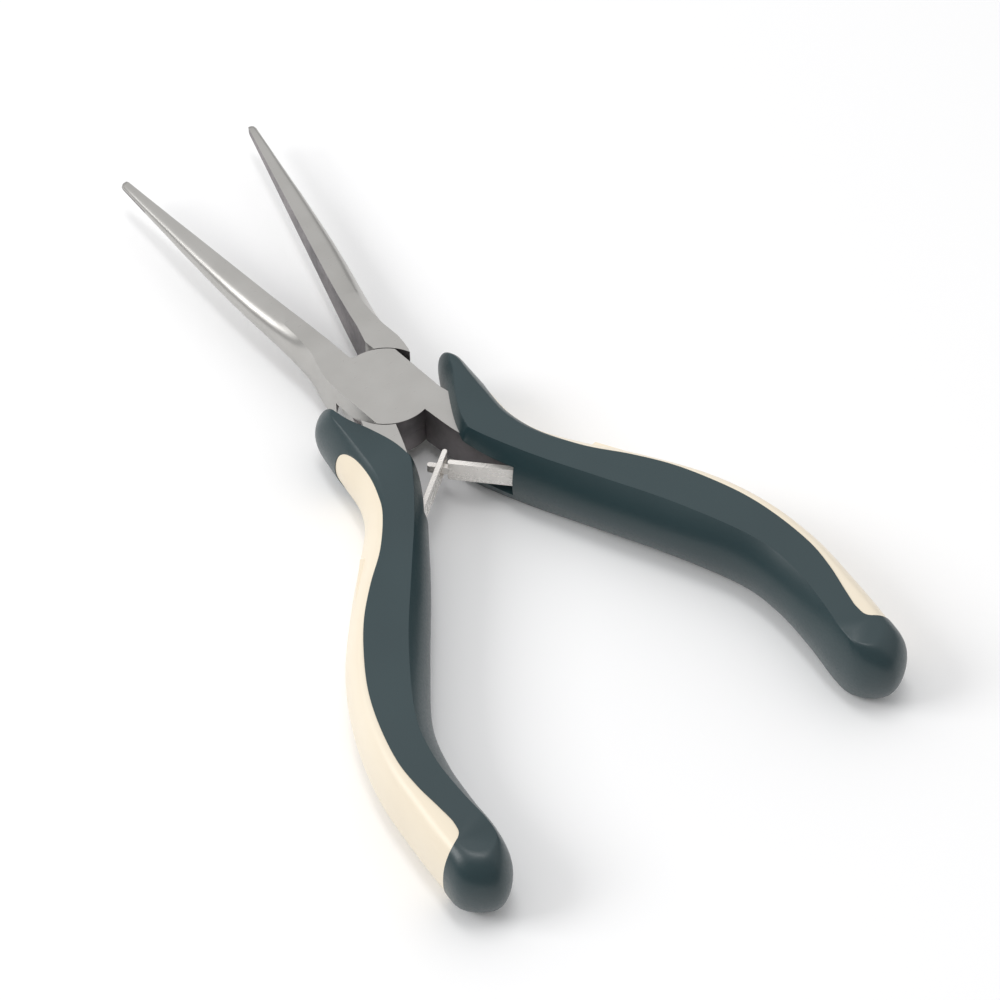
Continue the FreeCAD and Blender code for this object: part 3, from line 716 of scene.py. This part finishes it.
# %% The whole grip as one solid
def build_grip_form(side, sunk=0.0):
    """The grip before it is split in two colours; sunk makes it that much smaller all round."""
    wide = through([row[0] for row in GRIP_LINE], AROUND_STEPS, closed=True)
    top = through([row[1] for row in GRIP_LINE], AROUND_STEPS, closed=True)
    softness = [p[0] for p in through([(row[2], 0) for row in GRIP_LINE], AROUND_STEPS,
                                      closed=True)]
    bm = bmesh.new()
    rings = []
    for step in range(SIDE_STEPS + 1):
        level = math.sin(math.radians(-90 + 180 * step / SIDE_STEPS))
        soft = math.sqrt(max(0.0, 1 - abs(level) ** 3))
        creased = 1 - level ** 2
        shares = [s * soft + (1 - s) * creased for s in softness]
        height = MIDDLE + MIDDLE * level
        rings.append(ring_of(bm, [(side * (t[0] + (w[0] - t[0]) * share),
                                   t[1] + (w[1] - t[1]) * share, height)
                                  for w, t, share in zip(wide, top, shares)])[1])
    for ring, following in zip(rings, rings[1:]):
        bmesh.ops.bridge_loops(bm, edges=ring + following)
    for ring in (rings[0], rings[-1]):
        bmesh.ops.edgeloop_fill(bm, edges=ring)
    form = as_object(bm, "grip_form")
    if sunk:
        inset = form.modifiers.new("inset", "DISPLACE")
        inset.strength = -sunk
        inset.mid_level = 0.0
        applied(form)
    return form


# %% [markdown]
# The cream core shows as a long pad on the outer side, inside an outline that ends round in front
# of the bulb. It is the part of the grip inside a block with that outline, sunk a little so that
# the green cover stands proud of it. Inside, a sleeve of the same plastic wraps the tang.

# %% Outlines inside the grip
PAD_EDGE = [(13.0, -9.3), (10.9, -9.2), (9.5, -11.8), (8.7, -15.8), (8.8, -19.8), (9.6, -23.7),
            (12.2, -29.5), (15.6, -34.6), (18.5, -39.7), (20.6, -45.0), (22.3, -51.0),
            (23.0, -56.9), (22.9, -63.3), (21.9, -68.1), (20.4, -72.5), (19.5, -75.6),
            (20.0, -77.8), (24.2, -80.6)]
SLEEVE_WALL = 1.2
SLEEVE_HALF = 3.7
CHANNEL_HALF = 3.2
SLOT_HALF = 2.1
CORE_SUNK = 0.12


def build_pad_block(side):
    points = through(PAD_EDGE, 6) + [(45, -80.6), (45, -8.1)]
    return prism("pad", on_side(side, points), -1, GRIP_TOP + 1)


def build_sleeve(side):
    left = [(8.2, -28.5)] + TANG_INNER[3:]
    right = TANG_OUTER[:5] + [(13.7, -28.5)]
    left = [(x - SLEEVE_WALL, y) for x, y in left]
    right = [(x + SLEEVE_WALL, y) for x, y in right]
    end = through([left[-1], (19.0, -66.8), (20.9, -67.6), (22.8, -66.9), right[0]], 3)
    points = through(left, 5) + end[1:-1] + through(right, 5)
    return prism("sleeve", on_side(side, points), MIDDLE - SLEEVE_HALF, MIDDLE + SLEEVE_HALF)


def build_channel(side):
    """The open channel that the leaf moves in, and the slot that holds its root."""
    turn = math.radians(-HALF_OPENING)
    x, y = LEAF_ROOT
    root = Vector((x * math.cos(turn) - y * math.sin(turn),
                   x * math.sin(turn) + y * math.cos(turn)))
    lean = math.atan2(CROSSING - y, -x) - math.radians(HALF_OPENING + 8.5)
    ahead = Vector((math.cos(lean), math.sin(lean)))
    across = Vector((-ahead.y, ahead.x))
    step = root + Vector((1.6, 0.6))
    step_end = step + 9 * across
    channel = [tuple(step), tuple(step_end), (-6, -20), (-6, -6), (2.0, -6), (2.2, -13.5),
               (3.6, -18.2)]
    low, high = MIDDLE - CHANNEL_HALF, MIDDLE + CHANNEL_HALF
    open_part = prism("channel", on_side(side, channel), low, high)
    slot_half = LEAF_THICKNESS / 2 + SLOT_SPARE
    corners = [root + forward * ahead + sideways * across for forward, sideways in
               ((1.0, -slot_half), (1.0, slot_half), (-2.3, slot_half), (-2.3, -slot_half))]
    slot_part = prism("slot", on_side(side, [tuple(c) for c in corners]),
                      MIDDLE - SLOT_HALF, MIDDLE + SLOT_HALF)
    return open_part, slot_part


# %% Building a grip's core and cover
def build_grip(word, side):
    form = build_grip_form(side)
    core = build_grip_form(side, sunk=CORE_SUNK)
    combine(core, "INTERSECT", build_pad_block(side))
    combine(core, "UNION", build_sleeve(side))
    combine(form, "DIFFERENCE", build_pad_block(side), build_sleeve(side))
    for piece in (core, form):
        combine(piece, "DIFFERENCE", build_tang(side), *build_channel(side))
        clean(piece)
        shade(piece, 40)
    body = HALF_NAMES[side]
    settle(core, word + "_core_pad", side, body, word + "_grip_core", "cream_plastic",
           cream_plastic)
    settle(form, word + "_soft_cover", side, body, word + "_grip_cover", "green_rubber",
           green_rubber)


build_grip("right", RIGHT)
build_grip("left", LEFT)

# %% [markdown]
# ## Floor, light and camera
#
# The floor is a large pale sheet. One broad soft light stands to the left and a narrow one hangs
# overhead, which lights the edges of the flat tops. The room is pale above and darker near the
# horizon, and its side behind the camera is dimmer still.

# %% The floor
floor_mesh = bpy.data.meshes.new("floor")
bm = bmesh.new()
bmesh.ops.create_grid(bm, x_segments=1, y_segments=1, size=4.0)
bm.to_mesh(floor_mesh)
bm.free()
floor = bpy.data.objects.new("floor", floor_mesh)
bpy.context.scene.collection.objects.link(floor)
floor.location.z = -0.0001
paper = bpy.data.materials.new("paper")
paper.use_nodes = True
paper.node_tree.nodes["Principled BSDF"].inputs["Base Color"].default_value = (0.97, 0.97, 0.97, 1)
paper.node_tree.nodes["Principled BSDF"].inputs["Roughness"].default_value = 0.9
floor_mesh.materials.append(paper)


# %% Soft lights
def add_light(name, direction, distance, size, power):
    data = bpy.data.lights.new(name, "AREA")
    data.shape = "RECTANGLE"
    data.size, data.size_y = size
    data.energy = power
    lamp = bpy.data.objects.new(name, data)
    bpy.context.scene.collection.objects.link(lamp)
    way = Vector(direction).normalized()
    lamp.location = way * distance
    lamp.rotation_euler = way.to_track_quat("Z", "Y").to_euler()
    return lamp


add_light("left softbox", (-0.72, 0.30, 0.62), 0.9, (0.40, 0.40), 3.0)
add_light("top strip", (0.0, 0.05, 1.0), 1.0, (0.16, 0.50), 1.6)

# %% The room
world = bpy.data.worlds.new("room")
bpy.context.scene.world = world
world.use_nodes = True
room = world.node_tree
back = room.nodes["Background"]
place = room.nodes.new("ShaderNodeTexCoord")
split = room.nodes.new("ShaderNodeSeparateXYZ")
ramp = room.nodes.new("ShaderNodeValToRGB")
room.links.new(place.outputs["Generated"], split.inputs[0])
room.links.new(split.outputs["Z"], ramp.inputs["Fac"])
ramp.color_ramp.elements[0].position = 0.0
ramp.color_ramp.elements[0].color = (0.25, 0.25, 0.26, 1)
ramp.color_ramp.elements[1].position = 1.0
ramp.color_ramp.elements[1].color = (0.90, 0.90, 0.91, 1)
for height, level in ((0.25, 0.50), (0.45, 0.80)):
    band = ramp.color_ramp.elements.new(height)
    band.color = (level, level, level, 1)

# The side of the room behind the camera is dim, so walls that face it reflect less light.
behind = room.nodes.new("ShaderNodeVectorMath")
behind.operation = "DOT_PRODUCT"
behind.inputs[1].default_value = (-0.54, -0.84, 0.0)
dim = room.nodes.new("ShaderNodeMapRange")
dim.interpolation_type = "SMOOTHSTEP"
dim.inputs["From Min"].default_value = 0.10
dim.inputs["From Max"].default_value = 0.45
dim.inputs["To Min"].default_value = 1.0
dim.inputs["To Max"].default_value = 0.45
shaded = room.nodes.new("ShaderNodeVectorMath")
shaded.operation = "SCALE"
room.links.new(place.outputs["Generated"], behind.inputs[0])
room.links.new(behind.outputs["Value"], dim.inputs["Value"])
room.links.new(ramp.outputs["Color"], shaded.inputs[0])
room.links.new(dim.outputs["Result"], shaded.inputs["Scale"])
room.links.new(shaded.outputs["Vector"], back.inputs["Color"])
back.inputs["Strength"].default_value = 1.05
bpy.context.scene.view_settings.view_transform = "Standard"

# %% The camera
AZIMUTH, ELEVATION, DISTANCE = -32.63, 51.58, 501.05
target = (Vector((4.27, -24.14, 5.5)) + PIVOT) * MM
a, e = math.radians(AZIMUTH), math.radians(ELEVATION)
away = Vector((math.sin(a) * math.cos(e), -math.cos(a) * math.cos(e), math.sin(e)))
camera_data = bpy.data.cameras.new("camera")
camera_data.lens = 126.0
camera_data.sensor_width = 36.0
camera_data.clip_start = 0.01
camera = bpy.data.objects.new("camera", camera_data)
bpy.context.scene.collection.objects.link(camera)
camera.location = target + away * DISTANCE * MM
camera.rotation_euler = (-away).to_track_quat("-Z", "Y").to_euler()
bpy.context.scene.camera = camera
